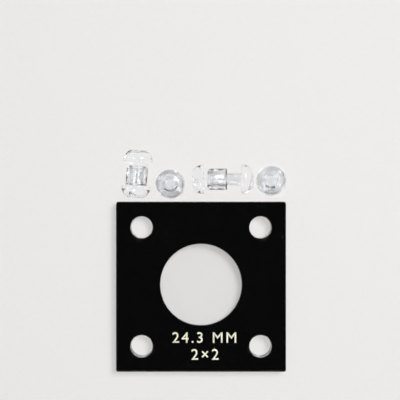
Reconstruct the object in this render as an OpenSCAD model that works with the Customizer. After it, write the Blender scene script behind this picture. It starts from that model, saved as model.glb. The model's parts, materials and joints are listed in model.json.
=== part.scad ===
// Three-plate coin holder: a black frame between two clear covers, with its four
// screw-and-post fasteners lying loose beside it. Millimetres, +Z up, origin under
// the middle of the plates.

/* [Plates] */
// Side of the square plates
plate_side = 50.8; // [48:0.1:60]
// Radius of the plates' upright corners
corner_r = 0.6; // [0.3:0.1:3]
// Bevel left where the plates' outer edges are polished
edge_bevel = 0.2; // [0.1:0.05:0.4]
// Bevel round the mouths of the opening and the corner holes
hole_bevel = 0.1; // [0.05:0.05:0.3]
// Thickness of the clear back cover
back_t = 2.4; // [1.5:0.1:4]
// Thickness of the black frame, more than the coin's
frame_t = 2.4; // [1.8:0.1:4]
// Thickness of the clear front cover
front_t = 2.4; // [1.5:0.1:4]
// Air film between two plates that lie on each other
plate_gap = 0.05; // [0.02:0.01:0.1]

/* [Coin opening] */
// Diameter of the coin that the frame holds
coin_d = 24.3; // [17:0.1:27]
// Clearance all round the coin
coin_clearance = 0.1; // [0.05:0.05:0.4]
// How far the opening lies above the plates' middle, which leaves room for a marking below it
opening_rise = 0.55; // [0:0.05:1.5]

/* [Corner holes] */
// Distance of each corner hole's centre from the plates' two nearest sides
hole_inset = 7.65; // [6.2:0.05:9]
// Clearance all round a post in its corner hole
post_clearance = 0.1; // [0.05:0.05:0.3]

/* [Fasteners] */
// Diameter of the post's barrel
barrel_d = 6.4; // [5.5:0.1:7]
// How far the barrel ends short of the stack, so that the heads can clamp it
clamp_nip = 0.3; // [0.1:0.05:0.6]
// Outer diameter of the screw's thread
thread_d = 3.8; // [3:0.1:4.4]
// Clearance all round the thread in the post's bore
thread_clearance = 0.05; // [0.02:0.01:0.1]
// Length of the screw's threaded shank
shank_len = 6.0; // [5:0.1:6.2]
// Depth of the post's bore past the end of the seated shank
shank_end_room = 0.4; // [0.2:0.1:0.8]
// Diameter of both heads
head_d = 8.7; // [8:0.1:10]
// Height of both heads
head_h = 3.5; // [3:0.1:4]
// Height of the straight rim round each head
rim_h = 1.0; // [0.6:0.1:1.4]
// Diameter of the flat on top of each dome
head_flat_d = 4.8; // [3:0.1:6]
// Width of the slot across each head
slot_w = 1.3; // [0.8:0.1:1.8]
// Depth of the slot across each head
slot_depth = 1.5; // [0.8:0.1:1.8]
// Chamfer on the shank's tip and round the barrel's mouth
lead_in = 0.4; // [0.2:0.05:0.6]

/* [Loose fasteners] */
// Shank showing on the fastener that lies along the plates' side
lying_shank = 0.3; // [0.3:0.1:1.5]
// Shank showing on the fastener that lies part unscrewed
open_shank = 4.4; // [3.5:0.1:5]
// Shank showing on the two fasteners that stand screwed together
seated_shank = 0.05; // [0.03:0.01:0.1]
// Shank still in the post when a screw is turned out to its limit
last_bite = 0.4; // [0.2:0.1:0.5]
// Lean of the first fastener away from square, in degrees
lying_lean = 4; // [0:1:8]
// Room between two fasteners that lie side by side
loose_gap = 0.9; // [0.6:0.1:2]
// How far the last fastener's rim stays inside the line of the plates' right side
row_inset = 0.1; // [0:0.1:2]
// How much further from the plates the part unscrewed fastener lies than its neighbour
open_step = 1.5; // [0:0.1:3]
// How much further from the plates the last fastener stands
far_step = 1.0; // [0:0.1:3]

/* [Hidden] */

$fn = 96;

// Overshoot of a cutting shape past the face that it cuts
past = 0.5;

// The stack of plates
frame_z = back_t + plate_gap;
front_z = frame_z + frame_t + plate_gap;
stack_t = front_z + front_t;
coin_bore_d = coin_d + 2 * coin_clearance;
corner_hole_d = barrel_d + 2 * post_clearance;
hole_spacing = plate_side - 2 * hole_inset;

// The fasteners
barrel_len = stack_t - clamp_nip;
bore_d = thread_d + 2 * thread_clearance;
bore_depth = shank_len + shank_end_room;

// The dome is part of a sphere through the rim's top edge and the flat's edge
dome_z = (pow(head_d / 2, 2) - pow(head_flat_d / 2, 2) + pow(rim_h, 2) - pow(head_h, 2))
         / (2 * (rim_h - head_h));
dome_r = norm([head_d / 2, rim_h - dome_z]);

// Lengths of a fastener behind its screw's bearing face, and how far its post can back out
function tail_len(shank) = shank + barrel_len + head_h;
function way_out(shank) = shank_len - shank - last_bite;

// Places of the loose fasteners: the row runs along the plates' +Y edge, set out from its right end
plates_edge = plate_side / 2;
far_x = plates_edge - row_inset - head_d / 2;
open_x = far_x - head_d / 2 - loose_gap - head_h;
standing_x = open_x - tail_len(open_shank) - way_out(open_shank) - loose_gap - head_d / 2;
lying_x = standing_x - head_d - loose_gap - tail_len(lying_shank) * sin(lying_lean);
lying_y = plates_edge + loose_gap + head_h + head_d / 2 * sin(lying_lean);
standing_y = plates_edge + loose_gap + head_d / 2;
open_y = standing_y + open_step;
far_y = standing_y + far_step;

// Each fastener: middle of its screw's bearing face, tilt and heading of the screw's head, turn
// of its two slots, shank showing
LYING = 90;
HEAD_DOWN = 180;
fasteners = [
    [[lying_x, lying_y, head_d / 2], LYING, -90 - lying_lean, [20, 65], lying_shank],
    [[standing_x, standing_y, head_h], HEAD_DOWN, 0, [0, 30], seated_shank],
    [[open_x, open_y, head_d / 2], LYING, 0, [50, 10], open_shank],
    [[far_x, far_y, head_h], HEAD_DOWN, 0, [0, -50], seated_shank],
];

// A square with true arcs at its corners
module rounded_square(side, r) {
    inner = side - 2 * r;
    square([side, inner], center = true);
    square([inner, side], center = true);
    for (x = [-1, 1], y = [-1, 1])
        translate([x, y] * inner / 2) circle(r);
}

// Upright section through a plate, with its four edges bevelled
module plate_section(t) {
    half = plate_side / 2;
    flat = half - edge_bevel;
    polygon([
        [-flat, 0], [flat, 0], [half, edge_bevel], [half, t - edge_bevel],
        [flat, t], [-flat, t], [-half, t - edge_bevel], [-half, edge_bevel],
    ]);
}

// What the two bevelled sections and the rounded outline have in common
module plate_blank(t) {
    intersection() {
        rotate([90, 0, 0]) linear_extrude(plate_side, center = true) plate_section(t);
        rotate([90, 0, 90]) linear_extrude(plate_side, center = true) plate_section(t);
        linear_extrude(t) rounded_square(plate_side, corner_r);
    }
}

// A round hole through a plate, bevelled at both mouths
module bevelled_hole(d, t) {
    wide = d + 2 * (hole_bevel + past);
    translate([0, 0, -past]) cylinder(d = d, h = t + 2 * past);
    translate([0, 0, -past]) cylinder(d1 = wide, d2 = d, h = hole_bevel + past);
    translate([0, 0, t - hole_bevel]) cylinder(d1 = d, d2 = wide, h = hole_bevel + past);
}

// A plate with its four corner holes
module drilled_plate(t) {
    difference() {
        plate_blank(t);
        for (x = [-1, 1], y = [-1, 1])
            translate([x, y] * hole_spacing / 2) bevelled_hole(corner_hole_d, t);
    }
}

module back_cover() {
    color("whitesmoke", 0.35) drilled_plate(back_t);
}

module coin_frame() {
    color("black") translate([0, 0, frame_z]) difference() {
        drilled_plate(frame_t);
        translate([0, opening_rise]) bevelled_hole(coin_bore_d, frame_t);
    }
}

module front_cover() {
    color("whitesmoke", 0.35) translate([0, 0, front_z]) drilled_plate(front_t);
}

// A slotted dome head that stands on its bearing face
module slotted_head(slot_turn) {
    difference() {
        rotate_extrude() intersection() {
            square([head_d / 2, head_h]);
            translate([0, dome_z]) circle(dome_r);
        }
        rotate([0, 0, slot_turn]) translate([-head_d / 2 - past, -slot_w / 2, head_h - slot_depth])
            cube([head_d + 2 * past, slot_w, slot_depth + past]);
    }
}

// A round bar with a chamfer at its far end
module chamfered_bar(d, len) {
    cylinder(d = d, h = len - lead_in);
    translate([0, 0, len - lead_in]) cylinder(d1 = d, d2 = d - 2 * lead_in, h = lead_in);
}

// The screw: its bearing face is at Z 0, its head points up and its shank down
module screw(slot_turn) {
    slotted_head(slot_turn);
    mirror([0, 0, 1]) chamfered_bar(thread_d, shank_len);
}

// The post: its barrel's mouth is at Z 0, and its own head points down
module post(slot_turn) {
    mouth_d = bore_d + 2 * (lead_in + past);
    difference() {
        mirror([0, 0, 1]) {
            cylinder(d = barrel_d, h = barrel_len);
            translate([0, 0, barrel_len]) slotted_head(slot_turn);
        }
        translate([0, 0, -bore_depth]) cylinder(d = bore_d, h = bore_depth + past);
        translate([0, 0, -lead_in]) cylinder(d1 = bore_d, d2 = mouth_d, h = lead_in + past);
    }
}

// Puts a fastener's piece where the fastener lies
module lay(fastener) {
    translate(fastener[0]) rotate([0, fastener[1], fastener[2]]) children();
}

module loose_screw(fastener) {
    color("whitesmoke", 0.5) lay(fastener) screw(fastener[3][0]);
}

module loose_post(fastener) {
    color("whitesmoke", 0.5) lay(fastener) translate([0, 0, -fastener[4]]) post(fastener[3][1]);
}

back_cover();
coin_frame();
front_cover();
for (i = [1 : len(fasteners)])
    loose_post(fasteners[i - 1]);
for (i = [1 : len(fasteners)])
    loose_screw(fasteners[i - 1]);
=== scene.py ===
# %% [markdown]
# # A coin holder of three plates, with its fasteners beside it
# The holder is a two inch square stack: a black frame with a round opening for a coin, between two
# clear covers. Four clear fasteners, each a screw in a post, lie loose along its far side. The packed
# CAD model is loaded first and never moves. Each plate, screw and post below is a finer surface that
# stands for one of its nodes, in the same frame. Sizes are written in mm, and MM turns them into
# metres, which are Blender's own unit.

import json
import math

import bmesh
import bpy
import numpy as np
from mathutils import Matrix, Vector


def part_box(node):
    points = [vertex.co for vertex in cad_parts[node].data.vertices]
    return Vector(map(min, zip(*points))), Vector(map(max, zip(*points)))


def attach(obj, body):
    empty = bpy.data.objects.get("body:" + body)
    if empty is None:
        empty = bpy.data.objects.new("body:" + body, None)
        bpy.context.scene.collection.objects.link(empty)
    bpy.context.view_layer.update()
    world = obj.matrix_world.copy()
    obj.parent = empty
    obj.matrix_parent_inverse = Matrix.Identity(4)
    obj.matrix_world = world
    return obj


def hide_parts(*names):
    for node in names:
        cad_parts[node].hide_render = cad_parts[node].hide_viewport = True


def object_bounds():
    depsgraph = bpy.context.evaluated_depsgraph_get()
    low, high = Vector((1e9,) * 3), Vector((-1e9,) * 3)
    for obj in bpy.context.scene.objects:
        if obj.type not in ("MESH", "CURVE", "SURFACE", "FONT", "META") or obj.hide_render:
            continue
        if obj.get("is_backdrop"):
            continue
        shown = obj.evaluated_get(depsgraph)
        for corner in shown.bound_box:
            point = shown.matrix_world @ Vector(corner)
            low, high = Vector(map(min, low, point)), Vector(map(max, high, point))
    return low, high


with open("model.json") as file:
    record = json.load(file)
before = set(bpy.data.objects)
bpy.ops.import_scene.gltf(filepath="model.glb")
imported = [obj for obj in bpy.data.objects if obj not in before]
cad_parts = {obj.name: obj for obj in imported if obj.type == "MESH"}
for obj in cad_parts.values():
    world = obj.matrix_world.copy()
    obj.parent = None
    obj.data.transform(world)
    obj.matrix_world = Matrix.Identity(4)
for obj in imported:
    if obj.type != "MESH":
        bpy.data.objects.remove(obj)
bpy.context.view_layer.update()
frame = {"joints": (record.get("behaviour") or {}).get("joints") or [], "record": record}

MM = 0.001
scene = bpy.context.scene

# %% [markdown]
# ## The camera
# The photograph looks straight down, and the plates' sides don't show in it. A long lens from half a
# metre up does the same. Its place follows from the scale of the image: the plates are 50.8 mm wide
# and 169 pixels, and their middle lies below the middle of the image.

# %% Camera straight above the holder
IMAGE_PX = 400
MM_PER_PX = 0.3
HOLDER_AT_PX = np.array([201.0, 286.4])
CAMERA_HEIGHT, CLIP_START, SENSOR = 520.0, 10.0, 36.0

frame_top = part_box("coin_frame")[1].z / MM
off_centre = (HOLDER_AT_PX - IMAGE_PX / 2) * MM_PER_PX
camera = bpy.data.objects.new("camera", bpy.data.cameras.new("camera"))
camera.data.sensor_width = SENSOR
camera.data.lens = SENSOR * (CAMERA_HEIGHT - frame_top) / (IMAGE_PX * MM_PER_PX)
camera.data.clip_start = CLIP_START * MM
camera.location = (-off_centre[0] * MM, off_centre[1] * MM, CAMERA_HEIGHT * MM)
scene.collection.objects.link(camera)
scene.camera = camera
print(f"lens {camera.data.lens:.0f} mm, {IMAGE_PX * MM_PER_PX:.0f} mm of the table in view")

# %% [markdown]
# ## Nodes for the finishes
# Every finish here is a Principled shader with a few textures in front of it. One helper adds a node
# and fills its inputs: a value is set on the socket, and another node's output is linked to it. The
# helpers after it wrap the nodes that come up again and again. Patterns lie on Object coordinates, so
# they stay on a piece wherever it goes.

# %% Helpers that add nodes and start a finish
def add_node(tree, kind, settings=None, **inputs):
    """A new shader node in the tree. Input names use _ for a space, or in_0, in_1 for a number."""
    node = tree.nodes.new("ShaderNode" + kind)
    for name, value in (settings or {}).items():
        setattr(node, name, value)
    for name, value in inputs.items():
        numbered = name.startswith("in_")
        key = int(name.removeprefix("in_")) if numbered else name.replace("_", " ")
        if isinstance(value, bpy.types.NodeSocket):
            tree.links.new(value, node.inputs[key])
        else:
            node.inputs[key].default_value = value
    return node


def new_finish(name, **inputs):
    """A material with one Principled shader, returned with its node tree and the shader."""
    material = bpy.data.materials.new(name)
    material.use_nodes = True
    tree = material.node_tree
    shader = tree.nodes["Principled BSDF"]
    for key, value in inputs.items():
        shader.inputs[key.replace("_", " ")].default_value = value
    return material, tree, shader


def show_mix(tree, factor, first, second, output="Material Output"):
    """Shows the first shader where the factor is 0, and the second where it is 1."""
    mixed = add_node(tree, "MixShader", in_0=factor, in_1=first, in_2=second).outputs["Shader"]
    tree.links.new(mixed, tree.nodes[output].inputs["Surface"])


# %% Helpers for values
UNIT = (0.0, 1.0)


def work_out(tree, operation, *values):
    """Result of one operation of the Math node."""
    inputs = {f"in_{place}": value for place, value in enumerate(values)}
    return add_node(tree, "Math", {"operation": operation}, **inputs).outputs[0]


def largest(tree, *values):
    """The largest of several values."""
    best = values[0]
    for value in values[1:]:
        best = work_out(tree, "MAXIMUM", best, value)
    return best


def map_range(tree, value, given, wanted):
    """Carries a value from the given range to the wanted one in a straight line, and stops at its ends."""
    limits = {"From_Min": given[0], "From_Max": given[1], "To_Min": wanted[0], "To_Max": wanted[1]}
    return add_node(tree, "MapRange", Value=value, **limits).outputs["Result"]


def ramp(tree, factor, *stops):
    """A colour ramp through stops of (position, grey value or colour)."""
    node = add_node(tree, "ValToRGB", Fac=factor)
    elements = node.color_ramp.elements
    while len(elements) < len(stops):
        elements.new(1.0)
    for element, (position, value) in zip(elements, stops):
        element.position = position
        element.color = (*value, 1) if isinstance(value, tuple) else (value, value, value, 1)
    return node.outputs["Color"]


# %% Helpers for patterns
def object_pattern(tree, scale=(1, 1, 1), turn=0.0):
    """Object coordinates, turned about Z by so many degrees and stretched by one scale a direction."""
    place = add_node(tree, "TexCoord").outputs["Object"]
    rotation = (0, 0, math.radians(turn))
    return add_node(tree, "Mapping", Vector=place, Rotation=rotation, Scale=scale).outputs["Vector"]


def noise(tree, detail, scale=1.0, pattern=None):
    """Cloudy noise, with so many layers of finer detail. The scale is in lumps a metre, or is left at 1
    where a pattern is given that is stretched already."""
    place = object_pattern(tree) if pattern is None else pattern
    return add_node(tree, "TexNoise", Vector=place, Scale=scale, Detail=detail).outputs["Fac"]


# %% [markdown]
# ## Table and light
# The holder lies on a pale grey table. The back cover and the fasteners rest on it with a breath of
# air between, so the table is a hair below them: two surfaces in one place would fight over each pixel.
#
# The lamps light a round patch of the table, and a low camera looks past it. Far from the holder the
# table therefore shows its own colour by itself, to the camera and in reflections, and lights nothing.

# %% Finish of the table
TABLE_COLOUR, SPECKLE_GAIN = (0.815, 0.80, 0.79), 1.012
SPECKLE_STARTS, SPECKLE_FULL = 0.35, 0.65
LIT_WITHIN, PLAIN_BEYOND = 100.0, 300.0


def seen_rays(tree):
    """1 for the rays that a picture shows: the camera's own, reflected or let through."""
    rays = add_node(tree, "LightPath").outputs
    return largest(tree, *(rays[f"Is {kind} Ray"] for kind in ("Camera", "Glossy", "Transmission")))


table_finish, tree, shader = new_finish("pale_table", Roughness=0.6, Specular_IOR_Level=0.2)
speckle_colour = tuple(channel * SPECKLE_GAIN for channel in TABLE_COLOUR)
speckles = noise(tree, scale=900.0, detail=3.0)
mottle = ramp(tree, speckles, (SPECKLE_STARTS, TABLE_COLOUR), (SPECKLE_FULL, speckle_colour))
tree.links.new(mottle, shader.inputs["Base Color"])
from_middle = object_pattern(tree)
distance = add_node(tree, "VectorMath", {"operation": "LENGTH"}, in_0=from_middle).outputs["Value"]
far = map_range(tree, distance, (LIT_WITHIN * MM, PLAIN_BEYOND * MM), UNIT)
plain = add_node(tree, "Emission", Color=mottle).outputs["Emission"]
show_mix(tree, work_out(tree, "MULTIPLY", far, seen_rays(tree)), shader.outputs["BSDF"], plain)
table_finish.cycles.emission_sampling = "NONE"
print(f"table shows its plain colour beyond {PLAIN_BEYOND:.0f} mm")

# %% Table
TABLE_SIDE, AIR_UNDER = 3000.0, 0.03

half, low = TABLE_SIDE / 2 * MM, -AIR_UNDER * MM
corners = [(-half, -half, low), (half, -half, low), (half, half, low), (-half, half, low)]
table_mesh = bpy.data.meshes.new("table")
table_mesh.from_pydata(corners, [], [(0, 1, 2, 3)])
table_mesh.materials.append(table_finish)
table = bpy.data.objects.new("table", table_mesh)
scene.collection.objects.link(table)
table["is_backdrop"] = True
print(f"table {TABLE_SIDE:.0f} mm wide")

# %% [markdown]
# ### Light
# The light is soft and comes from three places. A lamp straight overhead fills every hole, as a lamp at
# the camera does. A large key lamp at the upper right throws a short, soft shadow to the lower left. The
# sky gives a little more. Together they show a surface at about its own colour.
#
# Both lamps are kept out of reflections, as a photographer does with a polariser. Polished and clear
# surfaces show a pale room instead, with a dark patch overhead, so that the black frame stays black,
# and four bright windows that give the clear pieces their glints.
#
# Light in a clear fastener is thrown from wall to wall many times before it leaves, and past the limit
# of bounces it counts as black. The limits are therefore raised, or the fasteners would turn grey.

# %% Sky
ROOM_PALE, ROOM_DARK, SKY_FILL = 0.85, 0.006, 0.05
# The dark patch lies where a direction's Z is above these
DARK_STARTS, DARK_FULL = 0.94, 0.98
# Each window's tilt from overhead, its heading from +X and its half width, in degrees
WINDOWS = ((42, 40, 15), (34, 150, 8), (46, 250, 8), (36, 325, 7))
WINDOW_BLUR, WINDOW_GAIN = 1, 14.0


def direction_to(tilt, heading):
    """Unit vector that leans by tilt from straight up, towards a heading that is counted from +X."""
    tilt, heading = math.radians(tilt), math.radians(heading)
    return math.sin(tilt) * math.cos(heading), math.sin(tilt) * math.sin(heading), math.cos(tilt)


def window(tree, direction, tilt, heading, half_width):
    """WINDOW_GAIN inside a round window and 1 outside, from the cosine of the angle to its middle."""
    pair = {"in_0": direction, "in_1": direction_to(tilt, heading)}
    cosine = add_node(tree, "VectorMath", {"operation": "DOT_PRODUCT"}, **pair).outputs["Value"]
    rim = [math.cos(math.radians(half_width + blur)) for blur in (WINDOW_BLUR, -WINDOW_BLUR)]
    return map_range(tree, cosine, rim, (1.0, WINDOW_GAIN))


world = bpy.data.worlds.new("studio")
scene.world = world
world.use_nodes = True
sky = world.node_tree
direction = add_node(sky, "TexCoord").outputs["Generated"]
height = add_node(sky, "SeparateXYZ", Vector=direction).outputs["Z"]
room = ramp(sky, height, (0.0, ROOM_PALE), (DARK_STARTS, ROOM_PALE), (DARK_FULL, ROOM_DARK))
bright = largest(sky, *(window(sky, direction, *place) for place in WINDOWS))
diffuse_bounces = add_node(sky, "LightPath").outputs["Diffuse Depth"]
no_bounce = work_out(sky, "LESS_THAN", diffuse_bounces, 0.5)
seen = work_out(sky, "MULTIPLY", seen_rays(sky), no_bounce)
fill = add_node(sky, "Background", Color=(SKY_FILL, SKY_FILL, SKY_FILL, 1)).outputs["Background"]
shown = add_node(sky, "Background", Color=room, Strength=bright).outputs["Background"]
show_mix(sky, seen, fill, shown, output="World Output")
print("sky with", len(WINDOWS), "windows")

# %% Lamps
OVERHEAD_HEIGHT, OVERHEAD_RADIUS, OVERHEAD_POWER = 1000.0, 50.0, 6.2
KEY_TILT, KEY_HEADING = 23.0, 40.0
KEY_DISTANCE, KEY_RADIUS, KEY_POWER = 900.0, 190.0, 3.05
CLEAR_BOUNCES = 32


def disk_lamp(name, place, radius, power):
    """A round soft lamp that shines from its place towards the origin, and isn't seen in reflections."""
    lamp = bpy.data.lights.new(name, "AREA")
    lamp.shape, lamp.size, lamp.energy = "DISK", 2 * radius * MM, power
    lamp_object = bpy.data.objects.new(name, lamp)
    lamp_object.location = place
    x, y, z = place
    lamp_object.rotation_euler = (0, math.atan2(math.hypot(x, y), z), math.atan2(y, x))
    lamp_object.visible_glossy = lamp_object.visible_transmission = False
    scene.collection.objects.link(lamp_object)


disk_lamp("overhead", (*camera.location[:2], OVERHEAD_HEIGHT * MM), OVERHEAD_RADIUS, OVERHEAD_POWER)
key_place = [KEY_DISTANCE * MM * part for part in direction_to(KEY_TILT, KEY_HEADING)]
disk_lamp("key", key_place, KEY_RADIUS, KEY_POWER)
scene.view_settings.view_transform = "Standard"
scene.cycles.max_bounces = scene.cycles.transmission_bounces = CLEAR_BOUNCES
scene.cycles.transparent_max_bounces = 2 * CLEAR_BOUNCES
print("overhead lamp, and a key lamp", KEY_TILT, "degrees from overhead")

# %% [markdown]
# ## From grids of points to pieces
# A surface is a grid of points, row by row, with a quad between each four neighbours. A piece is a
# few such grids whose borders share their points, so it is made in three moves: the grids go into
# one mesh, points that fall on each other are merged, and the faces are turned outwards.

# %% Helpers that turn grids into a piece
WELD = 0.001


def grid_quads(rows, columns, closed):
    """Corner numbers of a grid's quads. A closed grid also joins its last column to its first."""
    number = np.arange(rows * columns).reshape(rows, columns)
    if closed:
        number = np.concatenate([number, number[:, :1]], axis=1)
    corners = [number[:-1, :-1], number[:-1, 1:], number[1:, 1:], number[1:, :-1]]
    return np.stack(corners, axis=-1).reshape(-1, 4)


def weld_grids(name, grids):
    """One mesh from (points, closed) grids in mm, with its borders merged and its faces outwards."""
    points, quads, count = [], [], 0
    for grid, closed in grids:
        rows, columns = grid.shape[:2]
        quads.append(grid_quads(rows, columns, closed) + count)
        points.append(grid.reshape(-1, 3))
        count += rows * columns
    mesh = bpy.data.meshes.new(name)
    mesh.from_pydata(np.concatenate(points) * MM, [], np.concatenate(quads))
    shell = bmesh.new()
    shell.from_mesh(mesh)
    bmesh.ops.remove_doubles(shell, verts=shell.verts, dist=WELD * MM)
    bmesh.ops.dissolve_degenerate(shell, edges=shell.edges, dist=WELD * MM)
    bmesh.ops.recalc_face_normals(shell, faces=shell.faces)
    open_edges = sum(not edge.is_manifold for edge in shell.edges)
    shell.to_mesh(mesh)
    shell.free()
    mesh.shade_smooth()
    print(f"{name}: {len(mesh.polygons)} faces, {open_edges} open edges")
    return mesh


def stand_for(node, mesh, finish):
    """Shows the mesh in place of a CAD node, riding on the body of the same name."""
    mesh.materials.append(finish)
    piece = bpy.data.objects.new(mesh.name, mesh)
    scene.collection.objects.link(piece)
    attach(piece, node)
    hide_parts(node)


# %% [markdown]
# ## The plates
# The plates are cut from acrylic sheet, drilled, and polished along their edges, which rounds them a
# little. A hole can't lie inside a plain grid, so the plate is set out as grids around its holes:
# one about each corner hole, out to a square corner, and one about the middle. But for the middle,
# the plate repeats every quarter turn, so one corner is worked out and turned. All edges have one
# kind of profile, a quarter circle at the top and the bottom, which is smaller round the holes.

# %% Sizes of the plates
mounts = {mount["name"]: mount for mount in frame["record"]["mounts"]}
corner_hole, coin_seat = mounts["corner_hole_2"], mounts["coin_seat"]
HALF_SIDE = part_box("coin_frame")[1].x / MM
HOLE_AT, HOLE_R = corner_hole["pos_m"][0] / MM, corner_hole["dims"]["r_mm"]
OPENING_RISE, COIN_R = coin_seat["pos_m"][1] / MM, coin_seat["dims"]["r_mm"]
CORNER_R, EDGE_R, MOUTH_R = 0.6, 0.2, 0.1
# Half of the flat face, and how far out the bends at the plate's corners have their middles
FLAT_HALF, BEND_AT = HALF_SIDE - EDGE_R, HALF_SIDE - CORNER_R
# Ring where the corners' grids meet the one about the middle
MIDDLE_R = 17.0
print(f"plates {2 * HALF_SIDE:.1f} mm wide, opening {2 * COIN_R:.1f} mm, holes {2 * HOLE_R:.1f} mm")

# %% [markdown]
# ### One quarter of the flat face
# A corner's grid goes once round its hole, so its outer border is one closed line: out along an axis,
# along the plate's edge, in along the other axis and back on an arc about the middle. As the hole
# sees them, evenly spaced points on a straight edge would crowd together towards its far end. They
# are spread evenly in angle instead, so that the quads there are alike.

# %% Outline of one quarter
SIDE_POINTS, BEND_POINTS, AXIS_POINTS, ARC_POINTS = 40, 8, 8, 30


def on_circle(angle):
    """Points of a circle of radius 1: the cosine and the sine of each angle."""
    return np.stack([np.cos(angle), np.sin(angle)], axis=-1)


def corner_outline():
    """Round one quarter of the flat face: along an axis, the plate's edge and the other axis, and back
    on an arc of MIDDLE_R. Returns the points, and by themselves those on the plate's edge. On a straight
    side they are spread evenly in angle, as seen from the hole: HOLE_AT + distance x tan(angle)."""
    distance = FLAT_HALF - HOLE_AT
    start, end = (math.atan((y - HOLE_AT) / distance) for y in (0, BEND_AT))
    up = HOLE_AT + distance * np.tan(np.linspace(start, end, SIDE_POINTS))
    side = np.stack([np.full_like(up, FLAT_HALF), up], axis=-1)
    bend = np.linspace(0, np.pi / 2, BEND_POINTS + 2)[1:-1]
    corner = BEND_AT + (CORNER_R - EDGE_R) * on_circle(bend)
    along = np.linspace(MIDDLE_R, FLAT_HALF, AXIS_POINTS, endpoint=False)
    axis = np.stack([along, np.zeros_like(along)], axis=-1)
    arc = MIDDLE_R * on_circle(np.linspace(np.pi / 2, 0, ARC_POINTS, endpoint=False))
    edge = np.concatenate([side, corner, side[::-1, ::-1]])
    return np.concatenate([axis, edge, axis[:0:-1, ::-1], arc]), edge


print(len(corner_outline()[0]), "points round one quarter")

# %% [markdown]
# ### Holes and edges
# About a hole, the rows of a grid run in over the top face, down the hole's wall, and out again under
# the plate. Round the plate, the same rounded profile is carried along the edge of the flat face. The
# covers have no opening, so their middle is two plain discs.

# %% Surfaces of a plate
ROUND_STEPS, FACE_RINGS, DISC_RINGS = 6, 5, 8


def rounded_wall(thickness, edge_r):
    """Offset from the flat face, and height, down a wall with both edges rounded to edge_r.
    The offset is edge_r times the sine of an angle that goes from 0 to 90 degrees and back."""
    angle = np.linspace(0, np.pi / 2, ROUND_STEPS + 1)
    out = edge_r * np.sin(angle)
    up = thickness - edge_r + edge_r * np.cos(angle)
    return np.concatenate([out, out[::-1]]), np.concatenate([up, thickness - up[::-1]])


def with_height(flat_points, z):
    """Adds a height to points in the plane."""
    z = np.broadcast_to(np.asarray(z, float), flat_points.shape[:-1])
    return np.concatenate([flat_points, z[..., None]], axis=-1)


def round_hole(centre, radius, outline, thickness):
    """The surface about a hole: in over the top face from an outline, down the hole's wall, and out
    again under the plate. A point on a face is inner + share x (outline - inner), where inner is the
    point of the hole's mouth in the same direction."""
    ray = outline - centre
    ray = ray / np.linalg.norm(ray, axis=-1, keepdims=True)
    mouth = centre + ray * (radius + MOUTH_R)
    share = np.linspace(1, 0, FACE_RINGS, endpoint=False)[:, None, None]
    face = mouth + share * (outline - mouth)
    out, up = rounded_wall(thickness, MOUTH_R)
    wall = centre + ray * (radius + MOUTH_R - out)[:, None, None]
    return np.concatenate([
        with_height(face, thickness),
        with_height(wall, up[:, None]),
        with_height(face[::-1], 0.0),
    ])


def quarter_turns(points):
    """The points, and the same after one, two and three quarter turns: (x, y) becomes (-y, x)."""
    x, y, z = np.moveaxis(points, -1, 0)
    return [np.stack(turned, axis=-1) for turned in ((x, y, z), (-y, x, z), (-x, -y, z), (y, -x, z))]


def plate_edge(edge, thickness):
    """The wall round the plate: the rounded profile, carried along the edge of the flat face. Outwards
    is square to the sides, and away from the middle of the bend at the corners."""
    normal = np.maximum(edge - BEND_AT, 0)
    normal = normal / np.linalg.norm(normal, axis=-1, keepdims=True)
    out, up = rounded_wall(thickness, EDGE_R)
    wall = edge + normal * out[:, None, None]
    return np.concatenate(quarter_turns(with_height(wall, up[:, None])), axis=1)


# %% A whole plate
def middle_of_plate(thickness, opening):
    """The surface inside the ring of MIDDLE_R: about the coin's opening, or plain faces to the centre."""
    ring = MIDDLE_R * on_circle(np.linspace(0, 2 * np.pi, 4 * ARC_POINTS, endpoint=False))
    if opening:
        return [round_hole(np.array([0, OPENING_RISE]), COIN_R, ring, thickness)]
    share = np.linspace(1, 0, DISC_RINGS + 1)[:, None, None]
    return [with_height(share * ring, z) for z in (thickness, 0.0)]


def plate_mesh(node, opening=False):
    """A whole plate at the place and thickness of its CAD node."""
    low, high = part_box(node)
    bottom, thickness = low.z / MM, (high.z - low.z) / MM
    outline, edge = corner_outline()
    corner = round_hole(np.array([HOLE_AT, HOLE_AT]), HOLE_R, outline, thickness)
    grids = quarter_turns(corner) + [plate_edge(edge, thickness)]
    grids += middle_of_plate(thickness, opening)
    lift = np.array([0, 0, bottom])
    return weld_grids(node + "_plate", [(grid + lift, True) for grid in grids])


# %% [markdown]
# ### Clear acrylic
# Clear sheet has a refractive index of 1.49 and takes up little light. Handled sheet has hairlines, and
# its cut edges stay a little dull from the saw, the drill and the polishing wheel, with fine upright
# lines that the cutters leave. Noise that is stretched in one direction gives both kinds of line, and
# the cut walls are found from the way they face.

# %% Polish of sheet acrylic
PLASTIC_IOR = 1.49
HAIRLINE_STRETCH, CUTTER_STRETCH, LINE_DETAIL = (60, 5000, 60), (2400, 2400, 60), 2.0
# Each set of hairlines: its turn in degrees, and the noise at which a line starts to show
HAIRLINE_SETS, HAIRLINE_FADE = ((24, 0.66), (-58, 0.68)), 0.06
FACE_ABOVE, WALL_BELOW = 0.9, 0.3
# Range of the cutter's noise, and the shares of a wall's roughness that its two ends stand for
CUTTER_NOISE, CUTTER_SHARES = (0.3, 0.7), (0.4, 1.6)
RIDGE_HEIGHT, RIDGE_STRENGTH = 0.04, 0.3


def hairlines(tree, turn, start):
    """Fine lines in one direction: noise drawn out along X, of which only the peaks stay."""
    lines = object_pattern(tree, scale=HAIRLINE_STRETCH, turn=turn)
    peaks = noise(tree, LINE_DETAIL, pattern=lines)
    return ramp(tree, peaks, (start, 0.0), (start + HAIRLINE_FADE, 1.0))


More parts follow.
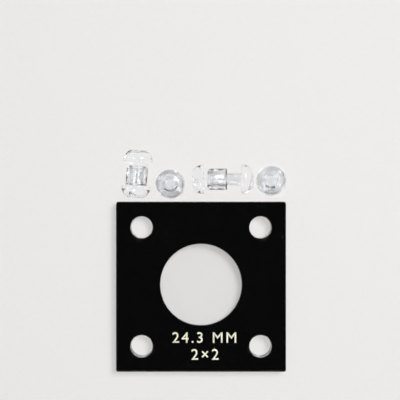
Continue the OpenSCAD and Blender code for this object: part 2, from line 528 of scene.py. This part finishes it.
def wall_share(tree):
    """1 on the walls that were sawn or drilled and 0 on the faces, from how far the surface leans: the
    size of its normal's Z is 1 on a face and 0 on a wall."""
    normal = add_node(tree, "TexCoord").outputs["Normal"]
    upward = add_node(tree, "SeparateXYZ", Vector=normal).outputs["Z"]
    return map_range(tree, work_out(tree, "ABSOLUTE", upward), (FACE_ABOVE, WALL_BELOW), UNIT)


def bump(tree, shader, height, distance, strength):
    """Lets the shader's surface rise with a height from 0 to 1, by a distance in mm."""
    raised = add_node(tree, "Bump", Height=height, Distance=distance * MM, Strength=strength)
    tree.links.new(raised.outputs["Normal"], shader.inputs["Normal"])


def polish(tree, shader, smooth, scratched, cut):
    """Roughness and bump of polished sheet: smooth faces with rougher hairlines, and cut walls that are
    duller by far, with the fine upright lines that a cutter leaves."""
    lines = largest(tree, *(hairlines(tree, *line_set) for line_set in HAIRLINE_SETS))
    face = map_range(tree, lines, UNIT, (smooth, scratched))
    cutter = noise(tree, LINE_DETAIL, pattern=object_pattern(tree, scale=CUTTER_STRETCH))
    wall = map_range(tree, cutter, CUTTER_NOISE, [share * cut for share in CUTTER_SHARES])
    on_wall = wall_share(tree)
    dull = work_out(tree, "MULTIPLY", on_wall, wall)
    tree.links.new(largest(tree, face, dull), shader.inputs["Roughness"])
    bump(tree, shader, work_out(tree, "MULTIPLY", on_wall, cutter), RIDGE_HEIGHT, RIDGE_STRENGTH)


# %% Clear covers
def let_light_through(tree, shader, tint):
    """Light from a lamp passes straight through a clear piece, less a little at each face."""
    passing = add_node(tree, "BsdfTransparent", Color=(*tint, 1)).outputs["BSDF"]
    to_lamp = add_node(tree, "LightPath").outputs["Is Shadow Ray"]
    show_mix(tree, to_lamp, shader.outputs["BSDF"], passing)


clear_acrylic, tree, shader = new_finish(
    "clear_acrylic", Base_Color=(0.998, 0.999, 0.998, 1), IOR=PLASTIC_IOR, Transmission_Weight=1.0
)
polish(tree, shader, smooth=0.01, scratched=0.04, cut=0.16)
let_light_through(tree, shader, tint=(0.998, 0.998, 0.998))
for cover in ("back_cover", "front_cover"):
    stand_for(cover, plate_mesh(cover), clear_acrylic)

# %% [markdown]
# ### Black acrylic
# The frame is opaque black sheet with the same polish. What breaks up the black is a little dust and
# a few hairlines, so the colour is lifted very slightly in specks and the roughness follows the lines.

# %% Black frame
BLACK, DUST = (0.0021, 0.0021, 0.0022), (0.012, 0.012, 0.0125)
DUST_STARTS, DUST_FULL = 0.66, 0.80

black_acrylic, tree, shader = new_finish("black_acrylic", IOR=PLASTIC_IOR)
specks = ramp(tree, noise(tree, scale=2600.0, detail=4.0), (DUST_STARTS, BLACK), (DUST_FULL, DUST))
tree.links.new(specks, shader.inputs["Base Color"])
polish(tree, shader, smooth=0.07, scratched=0.13, cut=0.4)
stand_for("coin_frame", plate_mesh("coin_frame", opening=True), black_acrylic)

# %% [markdown]
# ### The stamped marking
# Two lines of pale gold foil are stamped on the frame, and say what it takes: a coin of 24.3 mm, in a
# two by two inch format. Foil is about a hundredth of a millimetre thick and lies on the frame, under
# the front cover. Letters have outlines that are no grid, so they come from a text object. Its strokes
# are thinner than a stamp's, so the outlines are scaled to the height of the capitals, moved outwards
# a little and filled again. Solidify gives the flat letters the foil's thickness, down to the frame.

# %% Outlines of the letters
# Height of the capitals, how far apart the letters are set, and how far their outlines move out
CAPITAL, SPACED, BOLD = 3.15, 1.26, 0.03
NICK = 0.02
# Points of a text object that agree to so many digits are one point
SAME_DIGITS = 5


def letter_outline(text):
    """Points of a line of letters in the plane, and its outline as pairs of point numbers that run with
    the letter on their left. The text object fills its letters with triangles, and an outline edge is a
    side whose reverse no other triangle has."""
    curve = bpy.data.curves.new("letters", "FONT")
    curve.body, curve.space_character = text, SPACED
    letters = bpy.data.objects.new("letters", curve)
    scene.collection.objects.link(letters)
    bpy.context.view_layer.update()
    filled = bpy.data.meshes.new_from_object(letters)
    bpy.data.objects.remove(letters)
    points = np.empty(3 * len(filled.vertices))
    filled.vertices.foreach_get("co", points)
    flat_points = points.reshape(-1, 3)[:, :2].round(SAME_DIGITS)
    points, number = np.unique(flat_points, axis=0, return_inverse=True)
    faces = number.ravel()[[tuple(polygon.vertices) for polygon in filled.polygons]]
    faces = faces[np.all(faces != np.roll(faces, 1, axis=1), axis=1)]
    sides = np.concatenate([faces[:, [0, 1]], faces[:, [1, 2]], faces[:, [2, 0]]])
    shared = np.isin(sides @ [len(points), 1], sides @ [1, len(points)])
    return points, sides[~shared]


def without_nicks(points, outline):
    """The same outline without its edges that are shorter than NICK: the end of such an edge falls on its
    start. They lie at the letters' notches, and would turn over when the outline moves."""
    along = points[outline[:, 1]] - points[outline[:, 0]]
    nick = np.linalg.norm(along, axis=-1) < NICK
    falls_on = np.arange(len(points))
    falls_on[outline[nick, 1]] = outline[nick, 0]
    used, outline = np.unique(falls_on[outline[~nick]], return_inverse=True)
    return points[used], outline.reshape(-1, 2)


def bolder(points, outline):
    """Moves each point of the outlines outwards by BOLD x (m + n) / (1 + m . n), where m and n are the
    outward normals of the two edges that meet there. As 1 + m . n is half the square of m + n, only that
    sum is needed. The square is taken as 1 at least, so that a sharp corner doesn't run far out."""
    along = points[outline[:, 1]] - points[outline[:, 0]]
    normal = np.stack([along[:, 1], -along[:, 0]], axis=-1)
    normal = normal / np.linalg.norm(along, axis=-1, keepdims=True)
    total = np.zeros_like(points)
    np.add.at(total, outline[:, 0], normal)
    np.add.at(total, outline[:, 1], normal)
    square = np.sum(total**2, axis=-1, keepdims=True)
    return points + 2 * BOLD * total / np.maximum(square, 1)


# %% [markdown]
# A hot stamp never presses evenly. Slow noise makes the foil paler in some places, and fine noise makes
# it duller.

# %% Foil letters
FOIL_T = 0.012
# Each line's letters, its middle and its foot
FOIL_LINES = (("24.3 MM", 1.0, -16.85), ("2\u00d72", 1.2, -21.9))
GOLD_DEEP, GOLD_PALE = (0.80, 0.78, 0.55), (1.0, 0.99, 0.84)
PALE_STARTS, PALE_FULL = 0.36, 0.58
FOIL_ROUGHNESS = (0.35, 0.6)


def foil_line(name, text, x, baseline):
    """Flat mesh of one line of letters at the foil's upper side, with its middle at x and its foot at
    baseline. The moved outline is filled in mm, and the mesh then scaled to metres."""
    points, outline = letter_outline(text)
    low, high = points.min(axis=0), points.max(axis=0)
    points = (points - [(low[0] + high[0]) / 2, low[1]]) * CAPITAL / (high[1] - low[1])
    points, outline = without_nicks(points, outline)
    points = bolder(points, outline)
    mesh = bpy.data.meshes.new(name)
    mesh.from_pydata(with_height(points + [x, baseline], frame_top + FOIL_T), outline, [])
    shell = bmesh.new()
    shell.from_mesh(mesh)
    bmesh.ops.triangle_fill(shell, edges=shell.edges, use_beauty=True, normal=(0, 0, 1))
    bmesh.ops.scale(shell, verts=shell.verts, vec=(MM, MM, MM))
    shell.to_mesh(mesh)
    shell.free()
    width, height = np.ptp(points, axis=0)
    print(f"{text}: {width:.1f} x {height:.1f} mm, {len(mesh.polygons)} faces")
    return mesh


foil, tree, shader = new_finish("gold_foil", Metallic=0.35, IOR=1.5)
gold = ramp(tree, noise(tree, scale=900.0, detail=3.0), (PALE_STARTS, GOLD_DEEP), (PALE_FULL, GOLD_PALE))
tree.links.new(gold, shader.inputs["Base Color"])
worn = map_range(tree, noise(tree, scale=4000.0, detail=4.0), UNIT, FOIL_ROUGHNESS)
tree.links.new(worn, shader.inputs["Roughness"])
for number, line in enumerate(FOIL_LINES, 1):
    mesh = foil_line(f"marking_{number}", *line)
    mesh.materials.append(foil)
    piece = bpy.data.objects.new(mesh.name, mesh)
    scene.collection.objects.link(piece)
    layer = piece.modifiers.new("layer", "SOLIDIFY")
    layer.thickness, layer.offset = FOIL_T * MM, -1
    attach(piece, "coin_frame")

# %% [markdown]
# ## The fasteners
# Each fastener is a screw in a post, moulded from clear plastic. Both have a domed head with a slot,
# and the screw's thread runs in the post's bore. Everything but the slot is round, so both pieces are
# rings of points along a profile. The slot is what makes the head hard: its walls are straight, so
# the top of the head is set out in rows along the slot, and the ends of those rows give the rings
# their angles. Head, rim and shank then meet point for point.

# %% Sizes of the fasteners
joints = {joint["name"]: joint for joint in frame["joints"]}
couplings = {row["joint"]: row for row in frame["record"]["behaviour"]["couplings"]}
post_low, post_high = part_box("post_2")
# A joint lies in the bearing face of its screw's head. Screw 2 stands on its head, and 3 lies on its rim
HEAD_H = joints["screw_2_turn"]["pos_m"][2] / MM
HEAD_R = joints["screw_3_turn"]["pos_m"][2] / MM
RIM_H, FLAT_R = 1.0, 2.4
SLOT_HALF, SLOT_DEPTH, SLOT_DRAFT = 0.65, 1.5, 0.06
SHANK_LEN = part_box("screw_2")[1].z / MM - HEAD_H
SEATED_SHANK = post_low.z / MM - HEAD_H
THREAD_R, THREAD_DEPTH = 1.9, 0.32
PITCH = 2 * math.pi / couplings["screw_2_turn"]["ratio"] / MM
POST_CLEARANCE, BORE_CLEARANCE, SHANK_END_ROOM = 0.1, 0.05, 0.4
BARREL_R = HOLE_R - POST_CLEARANCE
BARREL_LEN = (post_high.z - post_low.z) / MM - HEAD_H
BORE_DEPTH = SHANK_LEN + SHANK_END_ROOM
LEAD_IN = 0.4
print(f"heads {2 * HEAD_R:.2f} x {HEAD_H:.2f} mm, shank {SHANK_LEN:.2f} mm, barrel {BARREL_LEN:.2f} mm")
print(f"thread's pitch {PITCH:.4f} mm, shank showing when seated {SEATED_SHANK:.3f} mm")

# %% The slotted head
SOFT_EDGE = 0.035
FLOOR_ROWS, WALL_ROWS, DOME_ROWS, ROW_POINTS = 3, 12, 28, 45


def soft_min(a, b):
    """The smaller of two heights, rounded where they cross: -k log(exp(-a/k) + exp(-b/k))."""
    return -SOFT_EDGE * np.logaddexp(-a / SOFT_EDGE, -b / SOFT_EDGE)


def head_rows():
    """Distances of the rows from the slot's middle: close together at its walls, and spread evenly
    round the rim beyond them."""
    foot, brink = SLOT_HALF - 2 * SLOT_DRAFT, SLOT_HALF + 2 * SLOT_DRAFT
    floor = np.linspace(0, foot, FLOOR_ROWS, endpoint=False)
    wall = np.linspace(foot, brink, WALL_ROWS, endpoint=False)
    dome = HEAD_R * np.sin(np.linspace(math.asin(brink / HEAD_R), np.pi / 2, DOME_ROWS))
    half_rows = np.concatenate([floor, wall, dome])
    return np.concatenate([-half_rows[:0:-1], half_rows])


def head_height(x, y):
    """Height of the head's top: the lowest of its flat, a sphere, and the slot's floor and walls. The
    sphere's centre lies where it passes through the rim's top edge and the flat's edge."""
    centre = (HEAD_R**2 - FLAT_R**2 + RIM_H**2 - HEAD_H**2) / (2 * (RIM_H - HEAD_H))
    radius = math.hypot(HEAD_R, RIM_H - centre)
    dome = centre + np.sqrt(radius**2 - x**2 - y**2)
    rise = np.clip((np.abs(y) - SLOT_HALF + SLOT_DRAFT) / (2 * SLOT_DRAFT), 0, 1)
    slot = HEAD_H - SLOT_DEPTH + 2 * SLOT_DEPTH * rise
    return soft_min(soft_min(dome, HEAD_H), slot)


def slotted_top():
    """Grid of the head's top, rows along the slot: x is the half chord at y times the sine of an angle."""
    y = head_rows()[:, None]
    angle = np.linspace(-np.pi / 2, np.pi / 2, ROW_POINTS)
    x = np.sqrt(np.maximum(HEAD_R**2 - y**2, 0)) * np.sin(angle)
    y = np.broadcast_to(y, x.shape)
    return np.stack([x, y, head_height(x, y)], axis=-1)


def ring_angles():
    """Angles of the rows' ends, once round the head."""
    right = np.arcsin(np.clip(head_rows() / HEAD_R, -1, 1))
    return np.concatenate([right, np.pi - right[-2:0:-1]])


print(f"head: {len(head_rows())} rows of {ROW_POINTS} points, {len(ring_angles())} points round its rim")

# %% [markdown]
# ### The thread
# A thread is a groove that climbs one pitch a turn. Written as a surface, the radius depends on the
# angle and the height together: height / pitch - angle / 360 degrees says where in the groove a point
# lies. The post's bore is the same surface with clearance, so screw and post stay in mesh when one
# turns and the other travels.

# %% Thread
THREAD_STEP = 0.03
# A flank runs between these shares of the way from the root to the crest
FLANK = (0.2, 0.8)


def ease(value, start, end):
    """0 before start, 1 after end, and a smooth step between: share squared x (3 - 2 x share)."""
    share = np.clip((value - start) / (end - start), 0, 1)
    return share**2 * (3 - 2 * share)


def thread_radius(angle, z):
    """Radius of the screw's thread. The place within one turn goes from 0 to 1, with the crest at 0 and
    the root at a half, and flanks between them that are eased at both ends."""
    place = np.mod(z / PITCH - angle / (2 * np.pi), 1.0)
    rise = ease(np.abs(2 * place - 1), *FLANK)
    return THREAD_R - THREAD_DEPTH * (1 - rise)


print(f"thread {2 * THREAD_R:.1f} mm over its crest, {2 * (THREAD_R - THREAD_DEPTH):.2f} mm over its root")

# %% [markdown]
# ### Screw and post
# Below the grid of its head, each piece is one body of rings: the rim, the bearing face, and then the
# shank or the barrel and its bore. All rings have the same angles, so a profile is only a list of radii
# and heights. A mould leaves few sharp edges, so the rim's lower edge, the neck and the barrel's ends
# are rounded. The thread fades into a plain cylinder at the screw's head and at both ends of the bore.

# %% Rings and rounds
MOULD_R, MOULD_STEPS = 0.15, 5


def rings(radius, z, angle):
    """Points of rings: at height z[k], and radius[k] or radius[k, j] at angle[j]."""
    z = np.asarray(z, float)
    radius = np.asarray(radius, float).reshape(len(z), -1) * np.ones(len(angle))
    height = np.broadcast_to(z[:, None], radius.shape)
    return np.stack([radius * np.cos(angle), radius * np.sin(angle), height], axis=-1)


def quarter_round(radius, z, size, upward):
    """Radii and heights of a rounded edge from (radius, z): a quarter circle that goes in by size, and up
    or down by as much, where upward is 1 or -1."""
    angle = np.linspace(0, np.pi / 2, MOULD_STEPS + 1)
    return radius - size * (1 - np.cos(angle)), z + upward * size * np.sin(angle)


def rim_rings(angle):
    """The head's rim: down from the dome, and round its lower edge to the bearing face."""
    edge_r, edge_z = quarter_round(HEAD_R, MOULD_R, MOULD_R, -1)
    return rings(np.concatenate([[HEAD_R], edge_r]), np.concatenate([[RIM_H], edge_z]), angle)


def turn_about_z(angle):
    """Matrix that turns points about Z by an angle in radians."""
    c, s = math.cos(angle), math.sin(angle)
    return np.array([[c, -s, 0], [s, c, 0], [0, 0, 1]])


# %% The screw
NECK_R, TIP_RINGS = 0.1, 5
# Distances from the bearing face between which the thread grows to its full depth
NO_THREAD, FULL_THREAD = 0.15, 0.4


def screw_grids(slot_turn):
    """The screw, with its bearing face at Z 0, its head up and its shank down. The thread runs out at the
    head, and a chamfer limits its radius at the tip."""
    turn = math.radians(slot_turn)
    angle = ring_angles() + turn
    z = np.arange(-NECK_R, -SHANK_LEN, -THREAD_STEP)
    plain = ease(z, -FULL_THREAD, -NO_THREAD)[:, None]
    thread = plain * THREAD_R + (1 - plain) * thread_radius(angle, z[:, None])
    thread = np.minimum(thread, (z + SHANK_LEN + THREAD_R - LEAD_IN)[:, None])
    neck_r, neck_z = quarter_round(THREAD_R + NECK_R, 0.0, NECK_R, -1)
    tip_r = np.linspace(THREAD_R - LEAD_IN, 0, TIP_RINGS + 1)[1:]
    body = np.concatenate([
        rim_rings(angle),
        rings(neck_r[:-1], neck_z[:-1], angle),
        rings(thread, z, angle),
        rings(tip_r, np.full_like(tip_r, -SHANK_LEN), angle),
    ])
    return [(slotted_top() @ turn_about_z(turn).T, False), (body, True)]


# %% The post
CONE_RINGS = 5
# Depths past the lead-in at which the bore's rings start, and at which its thread is full
BORE_STARTS, THREAD_IN = 0.05, 0.3
# Distances from the bore's end at which its thread starts to fade, is gone, and its rings stop
FADE_STARTS, FADE_ENDS, BORE_STOPS = 0.5, 0.25, 0.2
# Floor of the bore, with a soft edge: shares of its radius, and heights above its end
BORE_FLOOR = ((1.0, 0.15), (0.9, 0.03), (0.5, 0.0), (0.0, 0.0))


def post_bore(angle, mouth_z):
    """The post's bore: a lead-in cone, the thread with clearance, fading at both ends, and a floor."""
    bore_r = THREAD_R + BORE_CLEARANCE
    cone = np.linspace(0, LEAD_IN, CONE_RINGS)
    depth = np.arange(LEAD_IN + BORE_STARTS, BORE_DEPTH - BORE_STOPS, THREAD_STEP)
    z = mouth_z - depth
    before = 1 - ease(depth, LEAD_IN, LEAD_IN + THREAD_IN)
    after = ease(depth, BORE_DEPTH - FADE_STARTS, BORE_DEPTH - FADE_ENDS)
    plain = np.maximum(before, after)[:, None]
    thread = thread_radius(angle, z[:, None]) + BORE_CLEARANCE
    floor_share, floor_rise = np.array(BORE_FLOOR).T
    return np.concatenate([
        rings(bore_r + LEAD_IN - cone, mouth_z - cone, angle),
        rings(plain * bore_r + (1 - plain) * thread, z, angle),
        rings(floor_share * bore_r, mouth_z - BORE_DEPTH + floor_rise, angle),
    ])


def post_grids(slot_turn, mouth_z):
    """The post, with its barrel's mouth at mouth_z and its own head pointing down. Its bore is threaded
    in step with the screw, so it is worked out at the heights where it lies on the fastener."""
    turn = math.radians(slot_turn)
    angle = ring_angles() + turn
    foot = mouth_z - BARREL_LEN
    flip, place = np.array([1, 1, -1]), np.array([0, 0, foot])
    top = slotted_top() @ turn_about_z(turn).T * flip + place
    body = np.concatenate([
        rim_rings(angle) * flip + place,
        rings(*quarter_round(BARREL_R + MOULD_R, foot, MOULD_R, 1), angle),
        rings(*quarter_round(BARREL_R, mouth_z - MOULD_R, MOULD_R, 1), angle),
        post_bore(angle, mouth_z),
    ])
    return [(top, False), (body, True)]


# %% [markdown]
# ### Clear moulded plastic
# The fasteners are clear too, but moulded: the plastic is a little cooler, and its skin is faintly
# uneven where it flowed in the mould. Noise in the bump gives that skin, and the roughness follows it.

# %% Finish of the fasteners
SKIN_ROUGHNESS, SKIN_HEIGHT, SKIN_STRENGTH = (0.015, 0.07), 0.2, 0.08

moulded_plastic, tree, shader = new_finish(
    "clear_moulded_plastic",
    Base_Color=(0.978, 0.986, 1.0, 1),
    IOR=PLASTIC_IOR,
    Transmission_Weight=0.985,
)
skin = noise(tree, scale=700.0, detail=3.0)
tree.links.new(map_range(tree, skin, UNIT, SKIN_ROUGHNESS), shader.inputs["Roughness"])
bump(tree, shader, skin, SKIN_HEIGHT, SKIN_STRENGTH)
let_light_through(tree, shader, tint=(0.996, 0.996, 0.997))
print(moulded_plastic.name, "with", len(tree.nodes), "nodes")

# %% [markdown]
# ### Where the fasteners lie
# Each screw's joint in the CAD record says where its fastener lies and which way its head points. How
# far its post is screwed on follows from the travel that is left before the post is home.

# %% Lay each fastener where its joint is
# Turns of the screw's slot and the post's, in degrees
SLOT_TURNS = {1: (20, 65), 2: (0, 30), 3: (50, 10), 4: (0, -50)}


def lie(grids, joint):
    """Puts grids where a fastener lies. Its axis comes from the screw's joint: Z is tilted towards X
    and then turned about Z, until it points out of the screw's head."""
    x, y, z = joint["axis"]
    tilt, heading = math.acos(np.clip(z, -1, 1)), math.atan2(y, x)
    c, s = math.cos(tilt), math.sin(tilt)
    lean = np.array([[c, 0, s], [0, 1, 0], [-s, 0, c]])
    place = np.array(joint["pos_m"]) / MM
    return [(grid @ (turn_about_z(heading) @ lean).T + place, closed) for grid, closed in grids]


for number, (screw_slot, post_slot) in SLOT_TURNS.items():
    turn_joint = joints[f"screw_{number}_turn"]
    shank_showing = SEATED_SHANK - joints[f"post_{number}_travel"]["range_m"][0] / MM
    screw = weld_grids(f"screw_{number}_threaded", lie(screw_grids(screw_slot), turn_joint))
    post = weld_grids(f"post_{number}_bored", lie(post_grids(post_slot, -shank_showing), turn_joint))
    stand_for(f"screw_{number}", screw, moulded_plastic)
    stand_for(f"post_{number}", post, moulded_plastic)

# %% [markdown]
# ## Done
# The visual model's box is printed in mm.

# %% Print the visual box
low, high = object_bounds()
print("visual box in mm:", [round(side / MM, 2) for side in high - low])
